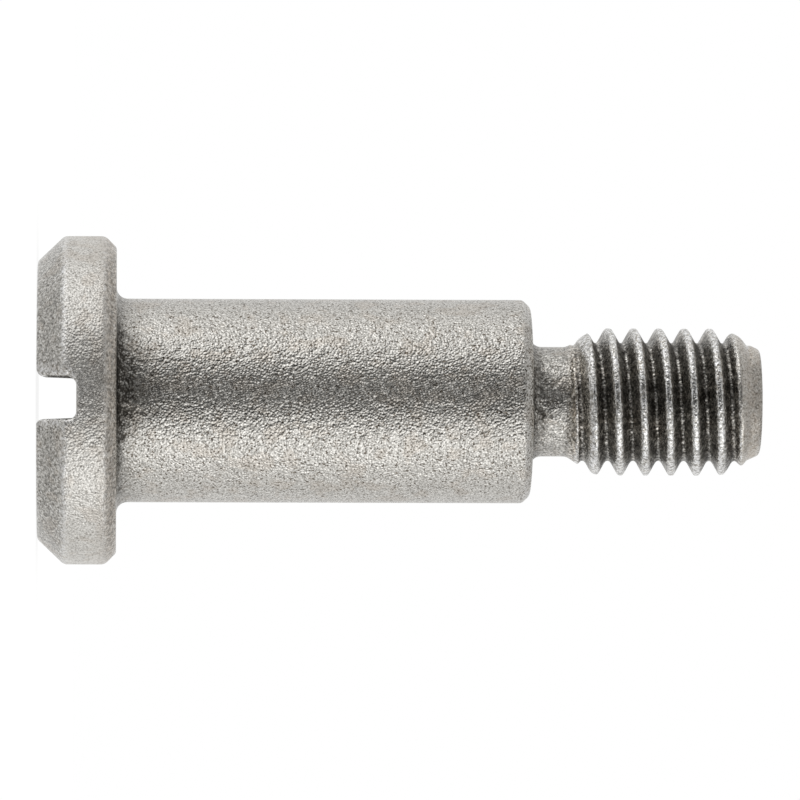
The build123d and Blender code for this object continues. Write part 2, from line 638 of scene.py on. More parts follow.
@dataclass
class ShoulderBolt:
    """The whole bolt: one closed skin of one turned piece."""

    head: Head
    shoulder: Shoulder
    stud: Stud
    head_spacing: float = 0.13
    shoulder_spacing: float = 0.18
    face_spacing: float = 0.24
    face_inset: float = 0.7
    face_margin: float = 0.6
    wall_steps: int = 74
    floor_gaps: tuple[float, ...] = (0.05, 0.1, 0.16, 0.24, 0.34)
    spare_turns: int = 2
    weld: float = 0.002
    ease_below: float = 0.5
    ease_beside: float = 0.7
    ease_rounds: int = 12
    ease_probe: float = 1e-4
    least_slope: float = 0.25

    def __post_init__(self) -> None:
        """Lay out the columns and the turned outline, which starts on the axis."""
        self.columns = Columns(self.head)
        corners = [Corner(0.0, 0.0)] + self.head.corners()
        corners += self.shoulder.corners(self.head.height) + self.stud.corners()
        self.outline = Outline(corners)

    def lug_rows(self) -> list[Point]:
        """List the rows from the slotted face up to the level of the slot's floor.

        Returns:
            Radius and station of each row.
        """
        outer, depth = self.head.diameter / 2, self.head.slot_depth
        last = [(outer, depth - gap) for gap in self.floor_gaps[::-1] + (0.0,)]
        bevel = self.outline.rows(1, 1, self.head_spacing)
        return self.outline.arc(0)[:-1] + bevel + self.outline.arc(1)[1:] + last

    def ring_rows(self) -> list[Point]:
        """List the rows from the slot's floor level up to the stud's neck.

        Returns:
            Radius and station of each row.
        """
        outer = self.head.diameter / 2
        first = [(outer, self.head.slot_depth + gap) for gap in (0.0,) + self.floor_gaps]
        start, end = first[-1][1], self.outline.runs[2][1][1]
        steps = ceil((end - start) / self.head_spacing)
        side = [(outer, start + (end - start) * step / steps) for step in range(1, steps)]
        rim = self.outline.arc(2)[:-1] + self.outline.rows(3, 4, self.head_spacing)
        shoulder = self.outline.rows(5, 8, self.shoulder_spacing)
        return first + side + rim + self.outline.arc(4)[1:-1] + shoulder

    def ring(self, radius: float, station: float) -> Array:
        """Return one closed row of vertices, with its first one repeated."""
        angles = self.columns.ring_angles()
        return turned_row(radius, station, np.append(angles, angles[0] + 2 * pi))

    def add_turned(self, draft: MeshDraft) -> None:
        """Add the turned skin from the slot's floor level to the neck."""
        draft.grid(np.array([self.ring(*row) for row in self.ring_rows()]))

    def add_lug(self, draft: MeshDraft, side: Side) -> None:
        """Add a lug's turned side, its slot wall and its face.

        Args:
            draft: The mesh that takes them.
            side: The lug.
        """
        rows = self.lug_rows()
        turned = [turned_row(*row, self.columns.lug_angles(side, *row)) for row in rows]
        wall = [self.slot_line(self.head.wall(station, side), radius, station) for radius, station in rows]
        draft.grid(np.array(turned))
        draft.grid(np.array(wall))
        back_along_wall = wall[0][1:-1, :2]
        if side is Side.PLUS_X:
            back_along_wall = back_along_wall[::-1]
        outline = np.concatenate((turned[0][:, :2], back_along_wall))
        draft.patch(outline, self.face_points(side, rows[0][0]), 0.0)

    def slot_line(self, x: float, radius: float, station: float) -> Array:
        """Return a line of vertices along the slot, from -Y to +Y, which ends at a radius."""
        y = (radius**2 - x**2) ** 0.5 * self.slot_fractions()
        return np.stack((np.full_like(y, x), y, np.full_like(y, station)), 1)

    def slot_fractions(self) -> Array:
        """Return the places of the vertices along the slot, from -1 to 1."""
        reach, offsets = self.head.diameter / 2, self.columns.edge_offsets
        return closer_at_ends(2 * reach, offsets, self.wall_steps - 2 * len(offsets)) / reach - 1.0

    def face_points(self, side: Side, radius: float) -> Array:
        """Lay out points inside a lug's face, in lines beside the slot and staggered further out.

        Args:
            side: The lug.
            radius: The face's outer radius.

        Returns:
            X and Y of each point.
        """
        wall = self.head.wall(0.0, side)
        beside = [wall + side.value * offset for offset in self.columns.edge_offsets]
        lines = [self.slot_line(x, radius, 0.0)[1:-1, :2] for x in beside]
        start = abs(wall) + self.columns.edge_offsets[-1] + self.face_spacing * self.face_inset
        inner = staggered(radius - self.face_spacing * self.face_margin, self.face_spacing)
        return np.concatenate(lines + [inner[side.value * inner[:, 0] > start]])

    def add_floor(self, draft: MeshDraft) -> None:
        """Add the slot's floor."""
        outer, depth = self.head.diameter / 2, self.head.slot_depth
        draft.grid(np.array([self.slot_line(x, outer, depth) for x in self.columns.gap_places()]))

    def add_thread(self, draft: MeshDraft) -> None:
        """Add the thread, on rows that climb with its helix.

        Args:
            draft: The mesh that takes it.
        """
        stud = self.stud
        angles = self.columns.ring_angles()
        climb = (angles - angles[0]) / (2 * pi) * stud.pitch
        crest = stud.start + stud.crest_station + angles[0] / (2 * pi) * stud.pitch
        offsets = list(stud.pitch_rows) + [stud.pitch / 2]
        offsets += [stud.pitch - offset for offset in stud.pitch_rows[:0:-1]]
        per_turn = len(offsets)
        first_turn = -ceil((crest - stud.zone_start) / stud.pitch) - self.spare_turns
        turns = ceil((stud.zone_end - stud.zone_start) / stud.pitch) + 2 * self.spare_turns
        starts = (crest + (first_turn + np.arange(turns)[:, None]) * stud.pitch + offsets).ravel()
        stations = np.clip(starts[:, None] + climb[None, :], stud.zone_start, stud.zone_end)
        around = np.broadcast_to(angles, stations.shape)
        radius = stud.radius(around, stations)
        points = np.stack((radius * np.cos(around), radius * np.sin(around), stations), 2)
        seam = np.concatenate((points[per_turn:, :1], points[-1:, :1].repeat(per_turn, 0)))
        closed = np.concatenate((points, seam), 1)
        draft.grid(closed[:-per_turn])

    def add_tip(self, draft: MeshDraft) -> None:
        """Add the tip taper and the flat end.

        Args:
            draft: The mesh that takes them.
        """
        rows = Outline(self.stud.tip_corners()).rows(0, 1, self.head_spacing)
        rings = [self.ring(*row) for row in rows]
        spacing = self.face_spacing / 2
        draft.grid(np.array(rings))
        draft.patch(rings[-1][:-1, :2], staggered(rows[-1][0] - spacing / 2, spacing), self.stud.tip)

    def head_distance(self, points: Array) -> Array:
        """Measure how far points lie outside the head, slot included, negative inside the steel."""
        turned, slot = self.turned_distance(points), -self.head.slot_distance(points)
        return rounded_max(turned, slot, self.head.mouth_radius(points))

    def turned_distance(self, points: Array) -> Array:
        """Measure how far points lie outside the head's turned outline.

        Args:
            points: Positions, in millimetres.

        Returns:
            Signed distances, negative inside.
        """
        rows = [(0.0, 0.0)] + self.lug_rows()[: -len(self.floor_gaps) - 1]
        rows.append((self.head.diameter / 2, self.head.height - self.head.rim_bevel))
        line = np.array(rows)
        radius, _, station = polar(points)
        place = np.stack((radius, station), 1)
        best = np.full(len(points), np.inf)
        signed = np.zeros(len(points))
        for start, end in zip(line, line[1:]):
            length = np.hypot(*(end - start))
            unit = (end - start) / length
            normal = np.array((unit[1], -unit[0]))
            gap = place - start
            step = np.clip(gap @ unit, 0.0, length)
            near = np.hypot(*(gap - step[:, None] * unit).T)
            signed = np.where(near < best, np.where(gap @ normal >= 0, near, -near), signed)
            best = np.minimum(best, near)
        return signed

    def ease_slot(self, points: Array) -> Array:
        """Round the slot's edges and its inner corners.

        Args:
            points: The mesh's vertices, with sharp slot edges.

        Returns:
            The vertices with those near the slot moved onto the rounded form.
        """
        near = points[:, 2] < self.head.slot_depth + self.ease_below
        near &= np.abs(points[:, 0]) < self.head.slot_width / 2 + self.ease_beside
        moved = points[near]
        for _ in range(self.ease_rounds):
            distance = self.head_distance(moved)
            slope = np.stack([
                (self.head_distance(moved + step) - self.head_distance(moved - step)) / (2 * self.ease_probe)
                for step in np.eye(3) * self.ease_probe
            ], 1)
            length = np.maximum((slope**2).sum(1), self.least_slope)
            moved = moved - slope * (distance / length)[:, None]
        result = points.copy()
        result[near] = moved
        return result

    def build(self) -> bpy.types.Object:
        """Build the bolt's skin.

        Returns:
            The object, in metres.
        """
        draft = MeshDraft()
        self.add_turned(draft)
        for side in Side:
            self.add_lug(draft, side)
        self.add_floor(draft)
        self.add_thread(draft)
        self.add_tip(draft)
        skin = draft.welded(self.weld)
        points = self.ease_slot(np.array([vertex.co for vertex in skin.verts]))
        for vertex, point in zip(skin.verts, points * MM):
            vertex.co = point
        mesh = bpy.data.meshes.new("bolt_skin")
        skin.to_mesh(mesh)
        skin.free()
        mesh.shade_smooth()
        SkinMarks(self).store(mesh, points)
        return place_object("bolt_skin", mesh)

    def dress(self, skin: bpy.types.Object, finish: bpy.types.Material) -> None:
        """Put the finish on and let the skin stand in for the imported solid.

        Args:
            skin: The bolt's skin.
            finish: Its material.
        """
        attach(skin, BODY)
        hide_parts(NODE)
        skin.data.materials.append(finish)


@dataclass(frozen=True)
class RingLine:
    """A line round the bolt along which wear, stains, dirt and painted shade are laid, all round or on one
    side.
    """

    radius: float
    station: float
    reach: float
    strength: float
    facing: float = 0.0
    spread: float = 0.0

    def near(self, points: Array) -> Array:
        """Say how far points are from the line.

        Args:
            points: Positions, in millimetres.

        Returns:
            Distances as shares of the reach, which shrinks away from the line's own side.
        """
        radius, angle, station = polar(points)
        gap = np.hypot(radius - self.radius, station - self.station) / self.reach
        if self.spread == 0.0:
            return gap
        apart = np.degrees(np.abs(np.angle(np.exp(1j * (angle - radians(self.facing))))))
        return gap / bell(apart, self.spread)


@dataclass
class SkinMarks:
    """How worn, dirty, stained, fine, pale and gritty the bolt's skin is, each from 0 to 1, with painted
    shade among the dirt and a painted highlight among the wear.
    """

    bolt: ShoulderBolt
    # Wear and a painted highlight on the slot's lip.
    slot_wear_and_sheen: float = 2.4
    slot_wear_and_sheen_reach: float = 0.17
    slot_wear_and_sheen_least: float = 0.2
    # Painted shadow on the slot's wall, under the worn lug's lip.
    wall_shadow: float = 0.85
    wall_shadow_start: float = 0.19
    wall_shadow_span: float = 0.08
    bevel_grit: float = 0.55
    neck_grit: float = 0.5
    crest_wear_start: float = 2.745
    crest_wear_span: float = 0.12
    lip_wear_reach: float = 0.12
    lip_wear_start: float = 1.74
    # Painted shade in the thread's grooves, less on the flanks facing the head and lifted at the root line
    # by a painted reflection.
    groove_shade: float = 0.75
    groove_shade_start: float = 0.05
    groove_shade_span: float = 0.2
    first_groove_share: float = 0.7
    head_flank_shade: float = 0.61
    root_sheen: float = 0.04
    root_sheen_reach: float = 0.035
    head_smoothness: float = 0.3
    haze_span: float = 0.2
    taper_span: float = 0.05
    smooth_end: float = 0.3

    def __post_init__(self) -> None:
        """Lay out the lines where wear, stains and dirt gather."""
        head, stud = self.bolt.head, self.bolt.stud
        self.head, self.stud = head, stud
        outer, barrel, neck = head.diameter / 2, self.bolt.shoulder.diameter / 2, stud.neck_diameter / 2
        face, rim = head.face_bevel_depth, head.rim_bevel
        start, length, tip, taper = stud.start, stud.neck_length, stud.tip, stud.tip_diameter / 2
        rim_middle = (outer - rim / 2, head.height - rim / 2)
        # Each line: radius, station, reach and strength, then the side it faces and its spread.
        self.worn_lines = [
            RingLine(outer, head.face_bevel_length, 0.14, 0.8),
            RingLine(outer - face, 0.0, 0.12, 0.5),
            RingLine(outer, head.height - rim, 0.1, 0.35),
            RingLine(barrel, start - 0.2, 0.12, 0.3),
        ]
        self.stained_lines = [
            RingLine(*rim_middle, 0.45, 0.45),
            RingLine(neck + 0.15, start + 1.7, 0.25, 0.42),
            RingLine(taper + 0.2, tip - 0.4, 0.7, 0.4),
        ]
        # Painted shade: the corner under the head, a patch beside the head and stretches of the neck and tip
        # on the side facing the camera, both head bevels and the corners at the neck's ends; the neck's
        # middle holds some dirt as well.
        self.dirt_and_shade_lines = [
            RingLine(barrel, head.height, 0.42, 0.6),
            RingLine(barrel, head.height, 1.2, 1.0, -99.0, 29.0),
            RingLine(*rim_middle, 0.4, 0.15),
            RingLine(outer - face / 2, head.face_bevel_length / 2, 0.8, 0.12),
            RingLine(neck, start, 0.4, 0.8),
            RingLine(neck, start + length / 2, 1.2, 0.22),
            RingLine(neck, start + 0.4, 1.0, 0.6, -94.0, 30.0),
            RingLine(neck, start + length, 0.15, 0.35),
            RingLine(taper, tip, 0.8, 0.2, -90.0, 36.0),
        ]

    def slot_lip_wear_and_sheen(self, points: Array) -> Array:
        """Say how near each vertex is to the slot's worn edges, which carry wear and a painted highlight.

        Args:
            points: Positions, in millimetres.

        Returns:
            Nearness from 0 to 1, wider on the lug on -X and faint at the slot's floor.
        """
        head = self.head
        near = points[:, 2] < head.height
        gap = np.full(len(points), np.inf)
        gap[near] = np.hypot(self.bolt.turned_distance(points[near]), head.slot_distance(points[near]))
        reach = self.slot_wear_and_sheen_reach * (1 + (points[:, 0] < -head.slot_offset))
        above_floor = ramp(-points[:, 2], -head.slot_depth, head.floor_edge_span)
        return bell(gap, reach) * np.maximum(above_floor, self.slot_wear_and_sheen_least)

    def wear_and_sheen(self, points: Array) -> Array:
        """Say how much each vertex is rubbed bright, with a painted highlight on the slot's lip.

        Args:
            points: Positions, in millimetres.

        Returns:
            Wear and painted highlight from 0 to 1.
        """
        stud = self.stud
        radius, angle, station = polar(points)
        rubbed = [line.strength * bell(line.near(points), 1.0) for line in self.worn_lines]
        # Wear and a painted highlight on the slot's lip, widest on the lug on -X.
        rubbed.append(self.slot_wear_and_sheen * self.slot_lip_wear_and_sheen(points))
        blank = stud.blank(station)
        past = stud.flank(angle, station) - blank
        past = np.where(station < (stud.start + stud.tip) / 2, np.minimum(past, 0), past)
        reach = self.lip_wear_reach * (1 - self.first_groove_share * stud.first_groove(angle, station))
        lip = bell(past, reach) * bell(radius - blank, reach)
        threaded = (station > stud.start + self.lip_wear_start) & (station < stud.tip - stud.tip_length)
        rubbed.append(np.maximum(ramp(radius, self.crest_wear_start, self.crest_wear_span), lip) * threaded)
        return np.clip(np.max(rubbed, 0), 0, 1)

    def dirt_and_shade(self, points: Array) -> Array:
        """Say how much dirt and painted shade each vertex gets.

        Args:
            points: Positions, in millimetres.

        Returns:
            Dirt and painted shade from 0 to 1.
        """
        stud = self.stud
        radius, angle, station = polar(points)
        shaded = [line.strength * np.exp(-line.near(points)) for line in self.dirt_and_shade_lines]
        shaded.append(self.slot_wall_shadow(points))
        # Painted shade in the thread's grooves: darker in the first groove, less on the flanks facing the
        # head, and lifted at the root line as a painted reflection.
        shrink = 1 - self.first_groove_share * stud.first_groove(angle, station)
        depth = ramp((stud.blank(station) - radius) / shrink, self.groove_shade_start, self.groove_shade_span)
        root_lift = self.root_sheen * bell(radius - stud.root_diameter / 2, self.root_sheen_reach)
        turns = stud.turns(angle, station)
        head_flank = np.where(turns < np.round(turns), self.head_flank_shade, 1.0)
        threaded = (station > stud.start + stud.neck_length) & (station < stud.tip - stud.tip_length)
        shaded.append((self.groove_shade - root_lift) * depth * head_flank * threaded)
        return np.clip(np.max(shaded, 0), 0, 1)

    def slot_wall_shadow(self, points: Array) -> Array:
        """Say how much painted shadow each vertex gets on the slot's wall in the worn lug, just under its
        rubbed lip.

        Args:
            points: Positions, in millimetres.

        Returns:
            Painted shadow from 0 to 1.
        """
        head = self.head
        near = (points[:, 2] < head.slot_depth) & (np.abs(head.slot_distance(points)) < self.wall_shadow_span)
        near &= points[:, 0] < -head.slot_offset
        dirt_and_shade = np.zeros(len(points))
        inward = -self.bolt.turned_distance(points[near])
        dirt_and_shade[near] = self.wall_shadow * ramp(inward, self.wall_shadow_start, self.wall_shadow_span)
        return dirt_and_shade

    def stains(self, points: Array) -> Array:
        """Say how brown each vertex is."""
        return np.max([line.strength * bell(line.near(points), 1.0) for line in self.stained_lines], 0)

    def smoothness(self, points: Array) -> Array:
        """Say how much finer than elsewhere the skin is at each vertex.

        Args:
            points: Positions, in millimetres.

        Returns:
            Smoothness from 0 to 1, full on the stud's end and partial on the head's side.
        """
        taper = ramp(-self.taper_gap(points), -self.taper_span, self.taper_span)
        stud_end = np.maximum(taper, points[:, 2] > self.stud.tip - self.smooth_end)
        return np.maximum(stud_end, self.head_smoothness * self.side(points))

    def taper_gap(self, points: Array) -> Array:
        """Say how far each vertex's radius is from the tip taper's, in millimetres."""
        radius, _, station = polar(points)
        return np.abs(self.stud.taper_radius(station) - radius)

    def side(self, points: Array) -> Array:
        """Say which vertices lie between the head's bevels, fading out over each bevel's edge."""
        low, high = self.head.face_bevel_length, self.head.height - self.head.rim_bevel
        return between(points[:, 2], low - self.haze_span / 2, high + self.haze_span / 2, self.haze_span)

    def haze(self, points: Array) -> Array:
        """Say how much paler and duller each vertex is, which only the head's side is."""
        low = self.head.face_bevel_length - self.haze_span
        return between(points[:, 2], low, self.head.height, self.haze_span)

    def grit(self, points: Array) -> Array:
        """Say how coarse each vertex's skin is.

        Args:
            points: Positions, in millimetres.

        Returns:
            Grit from 0 to 1, full on the thread, less on the neck and bevels, none on the tip taper.
        """
        station = points[:, 2]
        off_taper = self.taper_gap(points) >= self.taper_span
        bevels = self.bevel_grit * (1 - self.side(points)) * (station < self.head.height)
        thread = ramp(station, self.stud.start + self.stud.neck_length, self.haze_span)
        neck = self.neck_grit * ramp(station, self.stud.start, self.haze_span)
        return np.maximum(np.maximum(thread, neck) * off_taper, bevels)

    def store(self, mesh: bpy.types.Mesh, points: Array) -> None:
        """Store every mark on the mesh, for the finish to read.

        Args:
            mesh: The bolt's mesh.
            points: Its vertices, in millimetres.
        """
        measures = (self.wear_and_sheen, self.dirt_and_shade, self.stains, self.smoothness, self.haze, self.grit)
        for name, measure in zip(MARKS, measures):
            values = measure(points).astype(np.float32)
            mesh.attributes.new(name, "FLOAT", "POINT").data.foreach_set("value", values)


class NodeTree:
    """A short way to add nodes and links to one shader tree.

    A Mix node's inputs are the factor (0), two plain values (2, 3) and two colours (6, 7).
    """

    def __init__(self, tree: bpy.types.NodeTree) -> None:
        """Start on a tree.

        Args:
            tree: The node tree that takes the nodes.
        """
        self.tree = tree

    def add(self, kind: str, inputs: Inputs | None = None, **settings: object) -> bpy.types.Node:
        """Add a node.

        Args:
            kind: The node's type, without its leading ShaderNode.
            inputs: Values or sockets for its inputs, by name or number.
            settings: Properties to set on it.

        Returns:
            The new node.
        """
        node = self.tree.nodes.new("ShaderNode" + kind)
        for name, value in settings.items():
            setattr(node, name, value)
        for name, value in (inputs or {}).items():
            self.feed(value, node.inputs[name])
        return node

    def feed(self, value: object, socket: Socket) -> None:
        """Give an input a value or a link.

        Args:
            value: A plain value, or the socket that is linked to the input.
            socket: The input.
        """
        if isinstance(value, Socket):
            self.tree.links.new(value, socket)
        else:
            socket.default_value = value

    def math(self, operation: str, *values: object, clamp: bool = False) -> Socket:
        """Add a Math node and return its output."""
        return self.add("Math", dict(enumerate(values)), operation=operation, use_clamp=clamp).outputs[0]

    def vector(self, operation: str, *values: object) -> bpy.types.Node:
        """Add a Vector Math node and return it."""
        return self.add("VectorMath", dict(enumerate(values)), operation=operation)

    def remap(self, value: Socket, span: Point, target: Point = (0.0, 1.0)) -> Socket:
        """Ease a value that runs over a span to a target range, and return the outcome."""
        places = dict(enumerate((value, *span, *target)))
        return self.add("MapRange", places, interpolation_type="SMOOTHSTEP").outputs[0]

    def mix(self, factor: object, first: object, second: object, blend: str = "MIX") -> Socket:
        """Mix two colours, or blend them in another way, and return the outcome."""
        inputs = {0: factor, 6: first, 7: second}
        return self.add("Mix", inputs, data_type="RGBA", blend_type=blend).outputs[2]

    def mix_value(self, factor: object, first: object, second: object) -> Socket:
        """Mix two plain values and return the outcome."""
        return self.add("Mix", {0: factor, 2: first, 3: second}, data_type="FLOAT").outputs[0]

    def noise(self, vector: Socket, size: object, detail: float = 2.0) -> Socket:
        """Return noise round one half, with features of a size in metres and some finer layers."""
        scale = self.math("DIVIDE", 1.0, size) if isinstance(size, Socket) else 1.0 / size
        return self.add("TexNoise", {"Vector": vector, "Scale": scale, "Detail": detail}).outputs[0]

    def group(self, group: bpy.types.NodeTree, **inputs: object) -> bpy.types.NodeOutputs:
        """Place a group with its own values and return its outputs."""
        return self.add("Group", inputs, node_tree=group).outputs


class GroupDraft(NodeTree):
    """A shader node group in the making."""

    def __init__(self, name: str, inputs: dict[str, object], outputs: tuple[str, ...]) -> None:
        """Start the group with its two ends.

        Args:
            name: The group's name.
            inputs: The default of each number, or the tuple of each vector, by name.
            outputs: The names of the values that it puts out.
        """
        super().__init__(bpy.data.node_groups.new(name, "ShaderNodeTree"))
        for label, value in inputs.items():
            kind = "NodeSocketVector" if isinstance(value, tuple) else "NodeSocketFloat"
            socket = self.tree.interface.new_socket(label, in_out="INPUT", socket_type=kind)
            socket.default_value = value
        for label in outputs:
            self.tree.interface.new_socket(label, in_out="OUTPUT", socket_type="NodeSocketFloat")
        self.start = self.tree.nodes.new("NodeGroupInput").outputs
        self.end = self.tree.nodes.new("NodeGroupOutput").inputs

    def sized(self, factor: float) -> Socket:
        """Return the group's Size input times a factor."""
        return self.math("MULTIPLY", self.start["Size"], factor)

    def finished(self, **outputs: Socket) -> bpy.types.NodeTree:
        """Link the group's outputs.

        Args:
            outputs: What each output gives, by name.

        Returns:
            The finished group.
        """
        for label, value in outputs.items():
            self.feed(value, self.end[label])
        return self.tree


def start_material(name: str) -> tuple[bpy.types.Material, bpy.types.Node]:
    """Start a material.

    Args:
        name: Its name.

    Returns:
        The material and its Principled shader.
    """
    made = bpy.data.materials.new(name)
    made.use_nodes = True
    return made, made.node_tree.nodes["Principled BSDF"]


@dataclass
class Effects:
    """The surface effects that the finish is made of, each one a node group."""

    coarse_size: float = 2.4
    pit_size: float = 0.9
    pit_detail: float = 0.5
    pit_span: Point = (0.4, 0.29)
    pit_depth: float = 0.3
    speckle_size: float = 0.7
    speckle_span: Point = (0.25, 0.75)
    aside: tuple[float, float, float] = (0.05, 0.02, 0.07)
    mean_height: float = 0.1
    patch_span: Point = (0.34, 0.66)
    swing: float = 2.5
    fine_detail: float = 3.0

    def __post_init__(self) -> None:
        """Build each group once."""
        self.grain = self.pebbled_grain()
        self.patches = self.uneven_patches()
        self.broken = self.broken_mask()

    def pebbled_grain(self) -> bpy.types.NodeTree:
        """Build the pebbled grain of a tumbled skin.

        Returns:
            The group, which puts out the bump's height, the relief round its mean, pits and speckle.
        """
        inputs = {"Vector": (0.0, 0.0, 0.0), "Size": 0.0002, "Pitting": 0.5}
        made = GroupDraft("pebbled_grain", inputs, ("Height", "Relief", "Pits", "Speckle"))
        place = made.start["Vector"]
        scale = made.math("DIVIDE", 1.0, made.start["Size"])
        pebbles = made.add("TexVoronoi", {"Vector": place, "Scale": scale})
        coarse = made.noise(place, made.sized(self.coarse_size), detail=0.0)
        aside = made.vector("ADD", place, self.aside).outputs[0]
        pits = made.remap(made.noise(aside, made.sized(self.pit_size), self.pit_detail), self.pit_span)
        speckle = made.noise(aside, made.sized(self.speckle_size), detail=0.0)
        speckle = made.remap(speckle, self.speckle_span)
        base = made.math("SUBTRACT", coarse, pebbles.outputs["Distance"])
        sunk = made.math("MULTIPLY", pits, made.math("MULTIPLY", made.start["Pitting"], self.pit_depth))
        return made.finished(
            Height=made.math("SUBTRACT", base, sunk),
            Relief=made.math("SUBTRACT", base, self.mean_height),
            Speckle=speckle,
            Pits=pits,
        )

    def uneven_patches(self) -> bpy.types.NodeTree:
        """Build broad uneven patches.

        Returns:
            The group, which puts out their mask.
        """
        inputs = {"Vector": (0.0, 0.0, 0.0), "Size": 0.002, "Seed": (0.0, 0.0, 0.0)}
        made = GroupDraft("uneven_patches", inputs, ("Patch",))
        place = made.vector("ADD", made.start["Vector"], made.start["Seed"]).outputs[0]
        noise = made.noise(place, made.start["Size"], self.fine_detail)
        return made.finished(Patch=made.remap(noise, self.patch_span))

    def broken_mask(self) -> bpy.types.NodeTree:
        """Build a mask that breaks up along its line, for wear, stains, dirt, painted shade and a painted
        highlight.

        Returns:
            The group, which puts out the broken mask.
        """
        inputs = {"Vector": (0.0, 0.0, 0.0), "Mask": 0.0, "Relief": 0.0, "Size": 0.0003, "Breaking": 0.5}
        made = GroupDraft("broken_mask", inputs, ("Mask",))
        noise = made.noise(made.start["Vector"], made.start["Size"], self.fine_detail)
        swing = made.math("ADD", made.math("SUBTRACT", noise, 0.5), made.start["Relief"])
        pushed = made.math("MULTIPLY", swing, made.math("MULTIPLY", made.start["Breaking"], self.swing))
        kept = made.math("MULTIPLY", made.start["Mask"], made.math("ADD", 1.0, pushed), clamp=True)
        return made.finished(Mask=kept)


class SteelTree(NodeTree):
    """The steel's shader tree, which knows the shared effects and where their patterns are read."""

    def __init__(self, tree: bpy.types.NodeTree, effects: Effects) -> None:
        """Start on the tree.

        Args:
            tree: The material's node tree.
            effects: The shared effects.
        """
        super().__init__(tree)
        self.effects = effects
        self.place = self.add("TexCoord").outputs["Object"]

    def grain(self, **inputs: float) -> bpy.types.NodeOutputs:
        """Place the pebbled grain and return its outputs."""
        return self.group(self.effects.grain, Vector=self.place, **inputs)

    def patches(self, **inputs: object) -> Socket:
        """Place uneven patches and return their mask."""
        return self.group(self.effects.patches, Vector=self.place, **inputs)["Patch"]

    def broken(self, mark: Socket, relief: Socket | float, size: float, breaking: float) -> Socket:
        """Break one of the stored marks up, more where the relief is high, and return the outcome."""
        inputs = {"Mask": mark, "Relief": relief, "Size": size, "Breaking": breaking}
        return self.group(self.effects.broken, Vector=self.place, **inputs)["Mask"]


